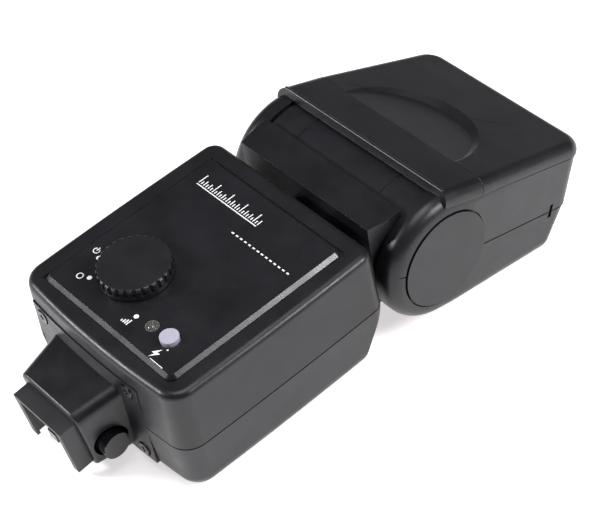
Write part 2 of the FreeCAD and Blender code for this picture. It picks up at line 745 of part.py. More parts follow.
plate_left_bow = bow_at(S["shoe_x"] - plate_half)
plate_right_bow = bow_at(S["shoe_x"] + plate_half)
plate_proud = S["plate_thick"] - bow_at(S["shoe_x"]) - 0.15
plate_sag = bow_at(S["shoe_x"]) - (plate_left_bow + plate_right_bow) / 2
base_plate = new_body("shoe_plate")
plan = new_sketch(base_plate, "XY_Plane", plate_low)
draw_outline(plan, [(-plate_half, -plate_left_bow - plate_proud), (plate_half, -plate_right_bow - plate_proud),
                    (plate_half, S["plate_inset"]), (-plate_half, S["plate_inset"])], {0: plate_sag})
pad(base_plate, plan, S["plate_height"])
tower = new_body("pedestal_tower")
lower = new_sketch(tower, "XZ_Plane")
root_half = S["pedestal_root"] / 2
root_rise = S["pedestal_root_height"] / 2
draw_outline(lower, rectangle(-root_half, S["tower_rise"] - root_rise, root_half, S["tower_rise"] + root_rise))
upper = tower.newObject("Sketcher::SketchObject", "pedestal_tip_sketch")
upper.AttachmentSupport = [([p for p in tower.Origin.OriginFeatures if p.Role == "XZ_Plane"][0], "")]
upper.MapMode = "FlatFace"
bind(upper, "AttachmentOffset.Base.z", S["pedestal_length"] + S["plate_thick"])
tip_half = S["pedestal_tip"] / 2
tip_rise = S["pedestal_tip_height"] / 2
draw_outline(upper, rectangle(-tip_half, S["tower_rise"] - tip_rise, tip_half, S["tower_rise"] + tip_rise))
loft = tower.newObject("PartDesign::AdditiveLoft", "pedestal_loft")
loft.Profile = lower
loft.Sections = [upper]
doc.recompute()
round_edges(tower, 3.6, lambda edge: edge.BoundBox.YLength > 5)
round_edges(tower, 0.9, lambda edge: edge.BoundBox.YMax < -S["pedestal_length"].value)
tip_y = -(S["pedestal_length"] + S["plate_thick"])
lock_y = tip_y / 2 - 1.0
lock_z = -2.9
lock_room = cylinder("lock_room", "X", 2.0, lock_y, lock_z, S["lock_radius"] + 1.0, 20)
stem_start = -2.0
lock_bore_start = stem_start - S["lock_travel"] - 0.5
lock_bore = cylinder("lock_bore", "X", lock_bore_start, lock_y, lock_z, 1.5 + S["turn_gap"], 8)
latch_bore = box("latch_bore", -2.2, tip_y - 1, lock_z - 2.2, 4.2, S["pedestal_length"], 4.4)
pedestal_screws = []
wells = []
for side in (-1, 1):
    screw_seat = 1.0 - bow_at(S["shoe_x"] + pedestal_screw_x * side)
    for level in screw_levels:
        wells.append(cylinder("pedestal_well", "Y", pedestal_screw_x * side, screw_seat - 4, level, 2.5, 4))
        wells.append(cylinder("pedestal_bore", "Y", pedestal_screw_x * side, screw_seat - 1, level, 1.2, 9))
        pedestal_screws.append(screw("pedestal_screw", "Y", pedestal_screw_x * side, screw_seat, level, 4.6))
bored_tower = cut("tower", tower, lock_room, lock_bore, latch_bore)
bored_tower.Placement = shoe_turn
pedestal = cut("shoe_pedestal", fuse("shoe_pedestal", base_plate, bored_tower), *wells)
keep("plate", "shoe_pedestal", pedestal)
keep("plate", "pedestal_screws", group("pedestal_screws", *pedestal_screws))

foot_half = S["foot_width"] / 2
foot_top_z = S["foot_length"] / 2
foot_body = new_body("shoe_foot_shape")
section = new_sketch(foot_body, "XY_Plane", -foot_top_z)
foot_low = tip_y - S["foot_height"]
inside = foot_half - S["foot_wall"]
draw_outline(section, [
    (-foot_half, tip_y), (-foot_half, foot_low), (-inside + S["foot_lip"], foot_low),
    (-inside + S["foot_lip"], foot_low + 1.1), (-inside, foot_low + 1.1), (-inside, tip_y - S["foot_floor"]),
    (inside, tip_y - S["foot_floor"]), (inside, foot_low + 1.1), (inside - S["foot_lip"], foot_low + 1.1),
    (inside - S["foot_lip"], foot_low), (foot_half, foot_low), (foot_half, tip_y)])
pad(foot_body, section, S["foot_length"])
end_wall = box("foot_end_wall", -foot_half, foot_low, foot_top_z - S["foot_wall"],
               S["foot_width"], S["foot_height"], S["foot_wall"])
latch_room = box("latch_room", -2.4, foot_low - 1, lock_z - 2.4, 4.6, S["foot_height"] + 2, 4.8)
keep("shoe", "shoe_foot", cut("shoe_foot", fuse("shoe_foot", foot_body, end_wall), latch_room))
sole_y = tip_y - S["foot_floor"]
sole = box("shoe_sole_blank", -inside + 0.3, sole_y - S["sole_thick"], -foot_top_z, inside * 2 - 0.6, S["sole_thick"],
           S["foot_length"] - S["foot_wall"])
contact_places = [(-5.5, 1.0), (5.5, 1.0), (0.0, 1.8)]
contacts = []
sole_holes = []
for x, z in contact_places:
    contacts.append(cylinder("shoe_contact", "Y", x, sole_y - 1.5, z, 0.9, 1.5))
    sole_holes.append(cylinder("sole_hole", "Y", x, sole_y - 1, z, 1.3, 2))
sole_latch = box("sole_latch", -2.6, sole_y - 1, lock_z - 2.6, 5.0, 2, 5.2)
keep("shoe", "shoe_sole", cut("shoe_sole", sole, sole_latch, *sole_holes))
keep("shoe", "shoe_contacts", group("shoe_contacts", *contacts))

lock_face = tip_half + 1.6
cap_length = 5.0
cap_start = lock_face + S["lock_rise"] - cap_length
lock_cap = cylinder("lock_cap", "X", cap_start, lock_y, lock_z, S["lock_radius"], cap_length)
lock_stem = cylinder("lock_stem", "X", stem_start, lock_y, lock_z, 1.5, cap_start - stem_start)
keep("shoe", "lock_button", fuse("lock_button", lock_cap, lock_stem))
latch_low = tip_y - S["foot_height"] + 1.4
latch = box("lock_latch_blank", -1.9, latch_low, lock_z - 1.9, 3.6, S["foot_height"] + 1.2, 3.8)
keep("shoe", "lock_latch", latch)
spring_room = cap_start - 2.0
keep("shoe", "lock_spring", coil_spring("lock_spring", vector(2.35, lock_y, lock_z), FreeCAD.Vector(1, 0, 0),
                                        2.4, 0.3, spring_room.value - 0.75, 5))

# ---------------------------------------------------------------- swivel neck (hinge frame, not tilted)

case_end = -S["neck_reach"]
bar_near = case_end + S["neck_gap"]
bar_far = bar_near + S["bar_length"]
drum_core = S["drum_radius"] - S["strip_thick"]
drum_length = S["drum_half"] * 2

collar_ring = cylinder("collar_ring", "Y", 0, case_end - S["collar_seat"], 0, S["collar_radius"],
                       S["collar_seat"] + 0.6)
collar_bore = cylinder("collar_bore", "Y", 0, case_end - 5, 0, S["spindle_radius"] + S["turn_gap"], 8)
keep("hinge", "swivel_collar", cut("swivel_collar", collar_ring, collar_bore))

spindle_start = case_end - 6.0
spindle = cylinder("spindle_tube", "Y", 0, spindle_start, 0, S["spindle_radius"], bar_near + 2.4 - spindle_start)
spindle_hole = cylinder("spindle_hole", "Y", 0, spindle_start - 1, 0, S["spindle_bore"], 20)
keep("hinge", "swivel_spindle", cut("swivel_spindle", spindle, spindle_hole))
ring_blank = cylinder("retaining_blank", "Y", 0, spindle_start, 0, S["collar_radius"] - 0.6, 2.0)
ring_hole = cylinder("retaining_hole", "Y", 0, spindle_start - 1, 0, S["spindle_radius"], 4)
keep("hinge", "retaining_ring", cut("retaining_ring", ring_blank, ring_hole))

block = new_body("neck_block")
side = new_sketch(block, "YZ_Plane")
draw_outline(side, [(bar_near, -S["neck_foot"]), (bar_near + 6, -S["neck_foot"]), (bar_far - 1, 12.0),
                    (bar_far, S["bar_height"]), (bar_near, S["bar_height"])])
pad(block, side, S["bar_back"], both_ways=True)
trim = new_sketch(block, "XY_Plane", -S["neck_foot"] - 1)
front_half = S["bar_front"] / 2
back_half = S["bar_back"] / 2
draw_outline(trim, [(front_half, bar_near - 1), (back_half + 1, bar_near - 1), (back_half + 1, bar_far)])
draw_outline(trim, [(-front_half, bar_near - 1), (-back_half - 1, bar_far), (-back_half - 1, bar_near - 1)])
pocket(block, trim, S["bar_height"] + S["neck_foot"] + 2, backwards=True)
drum = cylinder("drum_tube", "X", -S["drum_half"], 0, 0, drum_core, drum_length)
drum_bore = cylinder("drum_bore", "X", -S["drum_half"] - 1, 0, 0, drum_core - S["drum_wall"], drum_length + 2)
turret = cylinder("neck_turret", "Y", 0, case_end + 0.9, 0, S["collar_radius"] - 0.8, S["neck_gap"] + 1.0)
spindle_seat = cylinder("spindle_seat", "Y", 0, case_end, 0, S["spindle_radius"], bar_near + 2.4 - case_end)
wire_way = cylinder("wire_way", "Y", 0, case_end, 0, S["spindle_bore"], 14)
strip_relief = new_body("strip_relief")
relief = new_sketch(strip_relief, "YZ_Plane")
draw_circle(relief, 0, 0, S["drum_radius"] + S["drum_gap"] + 0.4)
relief_pad = pad(strip_relief, relief, drum_length + 6, both_ways=True)
hole = new_sketch(strip_relief, "YZ_Plane")
draw_circle(hole, 0, 0, drum_core)
pocket(strip_relief, hole, drum_length + 8, both_ways=True)
keep_front = new_sketch(strip_relief, "YZ_Plane")
draw_outline(keep_front, rectangle(-40, -40, bar_far, 40))
pocket(strip_relief, keep_front, drum_length + 8, both_ways=True)
keep("hinge", "neck_housing", cut("neck_housing", fuse("neck_housing", block, drum, turret),
                                  drum_bore, spindle_seat, wire_way, strip_relief))

strip = new_body("drum_strip")
section = new_sketch(strip, "YZ_Plane")
draw_circle(section, 0, 0, S["drum_radius"])
draw_circle(section, 0, 0, drum_core)
pad(strip, section, drum_length, both_ways=True)
trim = new_sketch(strip, "YZ_Plane")
draw_outline(trim, [(-40, -40), (40, -40), (40, 1.0), (bar_far, 1.0), (bar_far, 40), (-40, 40)])
pocket(strip, trim, drum_length + 2, both_ways=True)
for seam_x in (-S["strip_seam"], S["strip_seam"]):
    seam = new_sketch(strip, "YZ_Plane", seam_x)
    draw_circle(seam, 0, 0, S["drum_radius"] + 1)
    draw_circle(seam, 0, 0, S["drum_radius"] - 0.2)
    pocket(strip, seam, 0.35, both_ways=True)
keep("hinge", "drum_strip", strip)

caps = []
for side in (-1, 1):
    start = S["drum_half"] - 3 if side > 0 else -S["drum_half"]
    disc = cylinder("drum_cap", "X", start, 0, 0, drum_core - S["drum_wall"], 3)
    bore = cylinder("drum_cap_bore", "X", start - 1, 0, 0, S["axle_radius"] + S["turn_gap"], 5)
    caps.append(cut("drum_cap", disc, bore))
detent_x = S["drum_half"] - 6
detent_y = 11.0
detent_hole = cylinder("detent_hole", "X", detent_x, detent_y, 0, 1.6, 8)
keep("hinge", "drum_cap_left", caps[0])
keep("hinge", "drum_cap_right", cut("drum_cap_right", caps[1], detent_hole))
ball = doc.addObject("Part::Sphere", "detent_ball")
for prop, size in (("Radius", 1.5), ("Placement.Base.x", S["drum_half"] - 1.45), ("Placement.Base.y", detent_y)):
    bind(ball, prop, size)
keep("hinge", "detent_ball", ball)
keep("hinge", "detent_spring", coil_spring("detent_spring", vector(S["drum_half"] - 7.0, detent_y, 0),
                                           FreeCAD.Vector(1, 0, 0), 1.1, 0.22, 3.6, 4))
detent_block = box("detent_block", S["drum_half"] - 8.2, detent_y - 2.5, -2.5, 1.0, 5, 5)
keep("hinge", "detent_stop", detent_block)

# ---------------------------------------------------------------- head (head frame)

cheek = S["cheek_radius"]
split = S["head_split"]
fall = S["head_top_drop"] / S["head_reach"]
wall_end = S["head_reach"] - S["cover_lip"]
taper_start = 8.0


def top_at(y):
    return S["head_top"] - fall * y


def chord_sag(radius, run, rise):
    return radius - (radius * radius - (run * run + rise * rise) / 4).root()


def taper_sides(body, z_low, height):
    """Trim both sides so that the head narrows evenly from the cheeks to the lens end."""
    trim = new_sketch(body, "XY_Plane", z_low)
    far = S["head_reach"] + 2
    narrow = S["lens_half"] - (S["head_half"] - S["lens_half"]) * 2 / (S["head_reach"] - taper_start)
    wide = S["head_half"]
    draw_outline(trim, [(wide, taper_start), (wide + 2, taper_start), (wide + 2, far), (narrow, far)])
    draw_outline(trim, [(-wide, taper_start), (-narrow, far), (-wide - 2, far), (-wide - 2, taper_start)])
    pocket(body, trim, height, backwards=True)


def is_cheek_rim(edge):
    if not isinstance(edge.Curve, Part.Circle):
        return False
    return edge.BoundBox.XLength < 0.01 and abs(edge.Curve.Radius - cheek.value) < 0.1


rear_z = (cheek * cheek - split * split).root()
upper = new_body("upper_casing_shape")
side = new_sketch(upper, "YZ_Plane")
near_lens = S["head_reach"].value - 9.2
cover_bed = top_at(S["cover_start"]) - S["cover_skirt"]
draw_outline(side, [(-rear_z, split), (wall_end, split), (wall_end, top_at(wall_end) - S["cover_skirt"]),
                    (S["cover_start"], cover_bed), (S["cover_start"], cheek), (0, cheek)],
             {5: chord_sag(cheek, rear_z, cheek - split)})
pad(upper, side, S["head_half"] * 2, both_ways=True)
taper_sides(upper, split - 1, S["head_top"] + 4)


def is_shoulder_rim(edge):
    """The cheek rims and the short top side edges that run on from them."""
    bounds = edge.BoundBox
    if is_cheek_rim(edge):
        return True
    return bounds.YLength > 2 and bounds.ZMin > cheek.value - 0.1 and abs(bounds.XMax) + abs(bounds.XMin) > 60


round_edges(upper, S["cheek_round"], is_shoulder_rim)
round_edges(upper, S["lens_corner"], lambda edge: is_upright(edge) and edge.BoundBox.YMin > near_lens)
ridge = new_body("ridge_strip")
side = new_sketch(ridge, "YZ_Plane")
ridge_half = S["head_half"] - S["ridge_inset"]
draw_outline(side, [(-S["ridge_back"], S["head_top"] - S["cover_skirt"]), (S["cover_start"], cover_bed),
                    (S["cover_start"], top_at(S["cover_start"])), (-S["ridge_back"], S["head_top"])])
pad(ridge, side, ridge_half * 2, both_ways=True)
round_edges(ridge, S["cover_round"], lambda edge: edge.BoundBox.YLength > 5
            and edge.BoundBox.ZMin > top_at(S["cover_start"]).value - 0.1)
bead_half = ridge_half - S["cover_round"] + 1.0
bead = cylinder("ridge_bead", "X", -bead_half, S["bead_radius"] - S["ridge_back"], S["head_top"] - 0.1,
                S["bead_radius"], bead_half * 2)

lower = new_body("lower_casing_shape")
side = new_sketch(lower, "YZ_Plane")
lower_end = S["head_reach"] - S["lower_setback"]
base_y = 2.0
base_z = -(cheek * cheek - base_y * base_y).root()
draw_outline(side, [(-rear_z, split), (base_y, base_z), (lower_end - S["lower_slant"], S["lens_base"]),
                    (lower_end, split)],
             {0: chord_sag(cheek, rear_z + base_y, base_z - split)})
pad(lower, side, S["head_half"] * 2, both_ways=True)
taper_sides(lower, S["lens_base"] - 8, 24)


def is_lower_rim(edge):
    """The cheek rims and the bottom side edges that run on from them."""
    bounds = edge.BoundBox
    if is_cheek_rim(edge):
        return True
    return bounds.YLength > 4 and bounds.ZMax < -14 and abs(bounds.XMax) + abs(bounds.XMin) > 60


round_edges(lower, S["lens_corner"] - 1, lambda edge: edge.BoundBox.YMin > near_lens and edge.BoundBox.ZLength > 6
            and edge.BoundBox.XLength < 4)
round_edges(lower, S["cheek_round"], is_lower_rim)

drum_room = cylinder("drum_room", "X", -S["drum_half"] - S["cheek_gap"], 0, 0,
                     S["drum_radius"] + S["drum_gap"], (S["drum_half"] + S["cheek_gap"]) * 2)
between = S["drum_half"] + S["cheek_gap"]
rear_room = box("rear_room", -between, -40, split - 1, between * 2, 40 - S["ridge_back"], 60)
lower_room = box("lower_room", -between, -40, -40, between * 2, 54.5, 60)
wall = S["head_wall"]
cavity_half = S["lens_half"] - wall - 0.4
upper_cavity = new_body("upper_cavity")
side = new_sketch(upper_cavity, "YZ_Plane")
draw_outline(side, [(4, split - 1), (wall_end - wall, split - 1),
                    (wall_end - wall, top_at(wall_end) - S["cover_skirt"] - wall),
                    (S["cover_start"] + wall, top_at(S["cover_start"]) - S["cover_skirt"] - wall),
                    (4, top_at(S["cover_start"]) - S["cover_skirt"] - wall)])
pad(upper_cavity, side, cavity_half * 2, both_ways=True)
lower_cavity = new_body("lower_cavity")
side = new_sketch(lower_cavity, "YZ_Plane")
draw_outline(side, [(4, split + 1), (4, base_z + wall + 0.8), (lower_end - S["lower_slant"] - wall,
                    S["lens_base"] + wall), (lower_end - wall - 0.6, split + 1)])
pad(lower_cavity, side, cavity_half * 2, both_ways=True)


def cheek_tools(name):
    """Everything cut from each cheek: its hollow, the axle's seat and the cover disc's recess."""
    tools = []
    for sign in (-1, 1):
        depth = S["head_half"] - wall - between
        start = between if sign > 0 else -S["head_half"] + wall
        hollow_disc = cylinder(name + "_hollow", "X", start, 0, 0, cheek - S["cheek_round"] - 0.6, depth)
        hub = cylinder(name + "_hub", "X", start, 0, 0, S["axle_radius"] + 3.4, depth)
        tools.append(cut(name + "_ring", hollow_disc, hub))
        recess_start = S["head_half"] - S["disc_depth"] if sign > 0 else -S["head_half"] - 2
        tools.append(cylinder(name + "_recess", "X", recess_start, 0, 0, S["disc_radius"] + S["disc_groove"],
                              S["disc_depth"] + 2))
    tools.append(cylinder(name + "_axle", "X", -S["head_half"], 0, 0, S["axle_radius"], S["head_half"] * 2))
    return tools


frame_back = S["head_reach"] - S["lens_recess"]
frame_low = -8.4
frame_half = S["lens_width"] / 2 + 1.0
frame_height = S["lens_height"] + 1.6

# A fine step along the upper casing's sides and a small notch near the lens mark the line where the casings meet.
side_step = new_body("side_step")
plan = new_sketch(side_step, "XY_Plane", split)
seam_far = S["head_reach"] + 2
seam_narrow = S["lens_half"] - (S["head_half"] - S["lens_half"]) * 2 / (S["head_reach"] - taper_start) - S["seam"]
seam_wide = S["head_half"] - S["seam"]
draw_outline(plan, [(seam_wide, -cheek), (seam_wide + 2, -cheek), (seam_wide + 2, seam_far),
                    (seam_narrow, seam_far), (seam_wide, taper_start)])
draw_outline(plan, [(-seam_wide, -cheek), (-seam_wide, taper_start), (-seam_narrow, seam_far),
                    (-seam_wide - 2, seam_far), (-seam_wide - 2, -cheek)])
pad(side_step, plan, S["seam"])
notches = []
for sign in (-1, 1):
    notch_x = S["lens_half"] if sign > 0 else -S["lens_half"] - 4
    notches.append(box("side_notch", notch_x, S["head_reach"] - 12.0, split - 2.0, 4, 1.5, 4.6))
lens_room = box("lens_room", -frame_half - S["fit_gap"], frame_back - 2.2, frame_low - S["fit_gap"],
                frame_half * 2 + S["fit_gap"] * 2, 12, frame_height + S["fit_gap"] * 2)
keep("head", "head_upper_casing", cut("head_upper_casing", fuse("upper", upper, ridge, bead), drum_room, rear_room,
                                      upper_cavity, lens_room, side_step, *notches, *cheek_tools("upper_cheek")))
lower_screw_x = cavity_half - 4
lower_wells = []
head_screws = []
for sign in (-1, 1):
    for y in (as_size(20.0), S["head_reach"] - 13.2):
        z = base_z + (S["lens_base"] - base_z) * y / (S["head_reach"] - 6.2)
        lower_wells.append(cylinder("head_screw_well", "Z", lower_screw_x * sign, y, z - 3, 2.5, 4.2))
        lower_wells.append(cylinder("head_screw_bore", "Z", lower_screw_x * sign, y, z - 3, 1.2, 8))
        head_screws.append(screw("head_screw", "Z", lower_screw_x * sign, y, z + 1.2, 3.0))
keep("head", "head_lower_casing", cut("head_lower_casing", lower, drum_room, lower_room, lower_cavity, lens_room,
                                      *notches, *cheek_tools("lower_cheek"), *lower_wells))
keep("head", "head_screws", group("head_screws", *head_screws))

cover = new_body("head_top_cover_shape")
side = new_sketch(cover, "YZ_Plane")
cover_y = S["cover_start"] + S["fit_gap"]
skirt = S["cover_skirt"] - 0.1
draw_outline(side, [(cover_y, top_at(cover_y) - skirt), (S["head_reach"], top_at(S["head_reach"]) - skirt),
                    (S["head_reach"], top_at(S["head_reach"])), (cover_y, top_at(cover_y))])
pad(cover, side, S["head_half"] * 2, both_ways=True)
taper_sides(cover, 0, S["head_top"] + 4)
round_edges(cover, S["lens_corner"], lambda edge: is_upright(edge) and edge.BoundBox.YMin > near_lens)
round_edges(cover, S["cover_round"], lambda edge: edge.BoundBox.ZMin > top_at(S["head_reach"]).value - 0.3
            and edge.BoundBox.YMax > cover_y.value + 1)
under = new_body("cover_hollow")
side = new_sketch(under, "YZ_Plane")
draw_outline(side, [(cover_y - 1, 5), (S["head_reach"] - 4, 5),
                    (S["head_reach"] - 4, top_at(S["head_reach"]) - wall - 0.3),
                    (cover_y - 1, top_at(cover_y) - wall - 0.3)])
pad(under, side, (S["lens_half"] - 4) * 2, both_ways=True)
scoop = doc.addObject("Part::Cone", "scoop_disc")
for prop, size in (("Radius1", S["scoop_radius"] - 2.0), ("Radius2", S["scoop_radius"] + 8.0),
                   ("Height", 5.0)):
    bind(scoop, prop, size)
scoop.Placement = FreeCAD.Placement(vector(0, S["cover_start"] - 1, S["head_top"] - 0.5),
                                    FreeCAD.Rotation(FreeCAD.Vector(1, 0, 0), -S["scoop_slope"].value))
keep("head", "head_top_cover", cut("head_top_cover", cover, under, scoop))

covers = []
for sign in (-1, 1):
    start = S["head_half"] - S["disc_depth"] if sign > 0 else -S["head_half"] - 0.4
    covers.append(cylinder("cheek_disc", "X", start, 0, 0, S["disc_radius"], S["disc_depth"] + 0.4))
keep("head", "hinge_cover_left", covers[0])
keep("head", "hinge_cover_right", covers[1])
axle_half = S["head_half"] - S["disc_depth"]
keep("head", "tilt_axle", cylinder("tilt_axle", "X", -axle_half, 0, 0, S["axle_radius"], axle_half * 2))

frame_blank = box("lens_frame_blank", -frame_half, frame_back, frame_low, frame_half * 2, 5.4, frame_height)
lens_low = frame_low + 0.8
frame_open = box("lens_frame_open", -S["lens_width"] / 2 + 0.6, frame_back - 2.2, lens_low + 0.6, S["lens_width"] - 1.2, 12,
                 S["lens_height"] - 1.2)
lens_seat = box("lens_seat", -S["lens_width"] / 2, frame_back - 1, lens_low, S["lens_width"],
                S["lens_thick"] + 1.2, S["lens_height"])
frame_slant = side_tool("frame_slant", -frame_half - 1, frame_half + 1, [
    (lower_end, split), (lower_end - S["lower_slant"], S["lens_base"]),
    (lower_end + 6, S["lens_base"]), (lower_end + 6, split)])
keep("head", "lens_frame", cut("lens_frame", frame_blank, frame_open, lens_seat, frame_slant))
lens = new_body("fresnel_lens")
sheet_face = new_sketch(lens, "XZ_Plane", -(frame_back + 0.2))
draw_outline(sheet_face, rectangle(-S["lens_width"] / 2, lens_low,
                                   S["lens_width"] / 2, lens_low + S["lens_height"]))
pad(lens, sheet_face, S["lens_thick"], backwards=True)
window_face = new_sketch(lens, "XZ_Plane", -(frame_back + 0.2))
draw_outline(window_face, rectangle(-S["lens_width"] / 2 + 0.7, lens_low + 0.7, S["lens_width"] / 2 - 0.7,
                                    lens_low + S["lens_height"] - 0.7))
pad(lens, window_face, S["lens_thick"] + 0.6, backwards=True)
keep("head", "fresnel_lens", lens)

reflector_z = frame_low + S["lens_height"] / 2 + 0.8
mouth = S["lens_height"] / 2 - 1.4
mouth_y = frame_back - 0.2
trough_y = frame_back - S["reflector_depth"]
reflector = new_body("reflector")
trough = new_sketch(reflector, "YZ_Plane")
outer = []
inner_side = []
for step in range(9):
    angle = math.pi * (0.5 - step / 8.0)
    outer.append((trough_y - 5.0 * math.cos(angle), reflector_z + 5.0 * math.sin(angle)))
    inner_side.append((trough_y - 4.4 * math.cos(angle), reflector_z + 4.4 * math.sin(angle)))
draw_outline(trough, outer + [(mouth_y, reflector_z - mouth), (mouth_y, reflector_z - mouth + 0.7)]
             + inner_side[::-1] + [(mouth_y, reflector_z + mouth - 0.7), (mouth_y, reflector_z + mouth)])
pad(reflector, trough, S["lens_width"] - 6, both_ways=True)
keep("head", "reflector", reflector)
end_plates = []
for sign in (-1, 1):
    start = S["lens_width"] / 2 - 3.0 if sign > 0 else -S["lens_width"] / 2 + 2.3
    plate_y = trough_y + 1.5
    end_plates.append(box("reflector_end", start, plate_y, reflector_z - 8.5, 0.7, mouth_y - plate_y, 17))
keep("head", "reflector_ends", group("reflector_ends", *end_plates))
tube_half = S["lens_width"] / 2 - 3.2
keep("head", "flash_tube", cylinder("flash_tube", "X", -tube_half, trough_y - 0.3, reflector_z, S["tube_radius"],
                                    tube_half * 2))
keep("head", "trigger_coil", cylinder("trigger_coil", "X", -8, 23.5, 6.0, 3.2, 16))

# ---------------------------------------------------------------- place every sub-part and write it

X_AXIS = FreeCAD.Vector(1, 0, 0)
lean = FreeCAD.Rotation(X_AXIS, S["body_lean"].value)
body_place = FreeCAD.Placement(FreeCAD.Vector(), lean)
hinge_place = body_place.multiply(FreeCAD.Placement(
    vector(0, S["body_length"] + S["neck_reach"], S["swivel_z"]), FreeCAD.Rotation()))
head_place = hinge_place.multiply(FreeCAD.Placement(
    FreeCAD.Vector(), FreeCAD.Rotation(X_AXIS, -S["head_tilt"].value)))
plate_place = body_place.multiply(plate_in_body)
shoe_place = plate_place.multiply(shoe_turn)
PLACES = {"body": body_place, "hinge": hinge_place, "head": head_place, "plate": plate_place, "shoe": shoe_place}

doc.recompute()
whole = FreeCAD.BoundBox()
for frame, name, thing in pieces:
    own = thing.Placement
    thing.Placement = PLACES[frame].multiply(own)
doc.recompute()
for frame, name, thing in pieces:
    whole.add(thing.Shape.optimalBoundingBox(False))
origin_shift = FreeCAD.Vector(-(whole.XMin + whole.XMax) / 2, -(whole.YMin + whole.YMax) / 2, -whole.ZMin)
for frame, name, thing in pieces:
    placed = thing.Placement
    placed.Base = placed.Base + origin_shift
    thing.Placement = placed
doc.recompute()

for thing in doc.Objects:
    if "Invalid" in thing.State or "Error" in thing.State:
        raise RuntimeError(thing.Name + " failed")
for frame, name, thing in pieces:
    if thing.Shape.isNull() or not thing.Shape.isValid() or not thing.Shape.Solids:
        raise RuntimeError(name + " is not a valid solid")

os.makedirs("parts", exist_ok=True)
for frame, name, thing in pieces:
    thing.Shape.exportStep("parts/" + name + ".step")
print("sub-parts", len(pieces), "size", whole.XLength, whole.YLength, whole.ZLength, "shift", origin_shift)
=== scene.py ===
import bpy
import bmesh
import json
import math
from mathutils import Matrix, Vector


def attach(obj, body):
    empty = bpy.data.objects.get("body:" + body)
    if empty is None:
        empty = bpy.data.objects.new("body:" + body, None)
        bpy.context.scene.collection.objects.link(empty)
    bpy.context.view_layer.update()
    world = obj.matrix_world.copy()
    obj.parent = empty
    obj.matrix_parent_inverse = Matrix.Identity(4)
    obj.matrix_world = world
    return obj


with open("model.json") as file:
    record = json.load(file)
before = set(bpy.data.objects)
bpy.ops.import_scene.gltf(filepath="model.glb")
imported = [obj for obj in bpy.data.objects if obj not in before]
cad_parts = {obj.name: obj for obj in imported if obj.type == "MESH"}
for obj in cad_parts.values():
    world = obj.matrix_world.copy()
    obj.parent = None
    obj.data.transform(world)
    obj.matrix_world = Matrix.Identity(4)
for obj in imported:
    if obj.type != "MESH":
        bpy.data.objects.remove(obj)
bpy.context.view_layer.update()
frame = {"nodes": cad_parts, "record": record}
nodes = frame["nodes"]

MM = 0.001

# ---------------------------------------------------------------- local frames, from the record's joints

joints = {joint["name"]: joint for joint in frame["record"]["behaviour"]["joints"]}
body_y = Vector(joints["neck_swivel"]["axis"]).normalized()
X_AXIS = Vector((1, 0, 0))
body_z = X_AXIS.cross(body_y).normalized()
HINGE_FROM_FOOT_END = 96.8 * MM
HINGE_BELOW_PARTING = 3.4 * MM
hinge = Vector(joints["head_tilt"]["pos_m"])
body_origin = hinge - body_y * HINGE_FROM_FOOT_END + body_z * HINGE_BELOW_PARTING


def frame_matrix(origin, y_axis):
    z_axis = X_AXIS.cross(y_axis).normalized()
    matrix = Matrix.Identity(4)
    for row in range(3):
        matrix[row][0] = X_AXIS[row]
        matrix[row][1] = y_axis[row]
        matrix[row][2] = z_axis[row]
        matrix[row][3] = origin[row]
    return matrix


def turned(direction, degrees):
    return Matrix.Rotation(math.radians(degrees), 3, "X") @ direction


HEAD_DIP = -20.0
body_frame = frame_matrix(body_origin, body_y)
head_frame = frame_matrix(hinge, turned(body_y, HEAD_DIP))

# ---------------------------------------------------------------- materials


def new_material(name, color, rough, metallic=0.0):
    material = bpy.data.materials.new(name)
    material.use_nodes = True
    shader = material.node_tree.nodes["Principled BSDF"]
    shader.inputs["Base Color"].default_value = (*color, 1.0)
    shader.inputs["Roughness"].default_value = rough
    shader.inputs["Metallic"].default_value = metallic
    return material, shader


def noise(tree, scale, detail=4.0, roughness=0.6, stretch=None):
    coords = tree.nodes.new("ShaderNodeTexCoord")
    texture = tree.nodes.new("ShaderNodeTexNoise")
    texture.inputs["Scale"].default_value = scale
    texture.inputs["Detail"].default_value = detail
    texture.inputs["Roughness"].default_value = roughness
    if stretch:
        mapping = tree.nodes.new("ShaderNodeMapping")
        mapping.inputs["Scale"].default_value = stretch
        tree.links.new(coords.outputs["Object"], mapping.inputs["Vector"])
        tree.links.new(mapping.outputs["Vector"], texture.inputs["Vector"])
    else:
        tree.links.new(coords.outputs["Object"], texture.inputs["Vector"])
    return texture


def spread(tree, source, low, high, low_in=0.3, high_in=0.7):
    scale = tree.nodes.new("ShaderNodeMapRange")
    scale.inputs["From Min"].default_value = low_in
    scale.inputs["From Max"].default_value = high_in
    scale.inputs["To Min"].default_value = low
    scale.inputs["To Max"].default_value = high
    tree.links.new(source, scale.inputs["Value"])
    return scale.outputs["Result"]


def tint(tree, source, dark, light, low=0.35, high=0.65):
    ramp = tree.nodes.new("ShaderNodeValToRGB")
    ramp.color_ramp.elements[0].position = low
    ramp.color_ramp.elements[0].color = (*dark, 1.0)
    ramp.color_ramp.elements[1].position = high
    ramp.color_ramp.elements[1].color = (*light, 1.0)
    tree.links.new(source, ramp.inputs["Fac"])
    return ramp.outputs["Color"]


def add_bump(tree, shader, source, strength, distance):
    bump = tree.nodes.new("ShaderNodeBump")
    bump.inputs["Strength"].default_value = strength
    bump.inputs["Distance"].default_value = distance
    tree.links.new(source, bump.inputs["Height"])
    tree.links.new(bump.outputs["Normal"], shader.inputs["Normal"])
    return bump


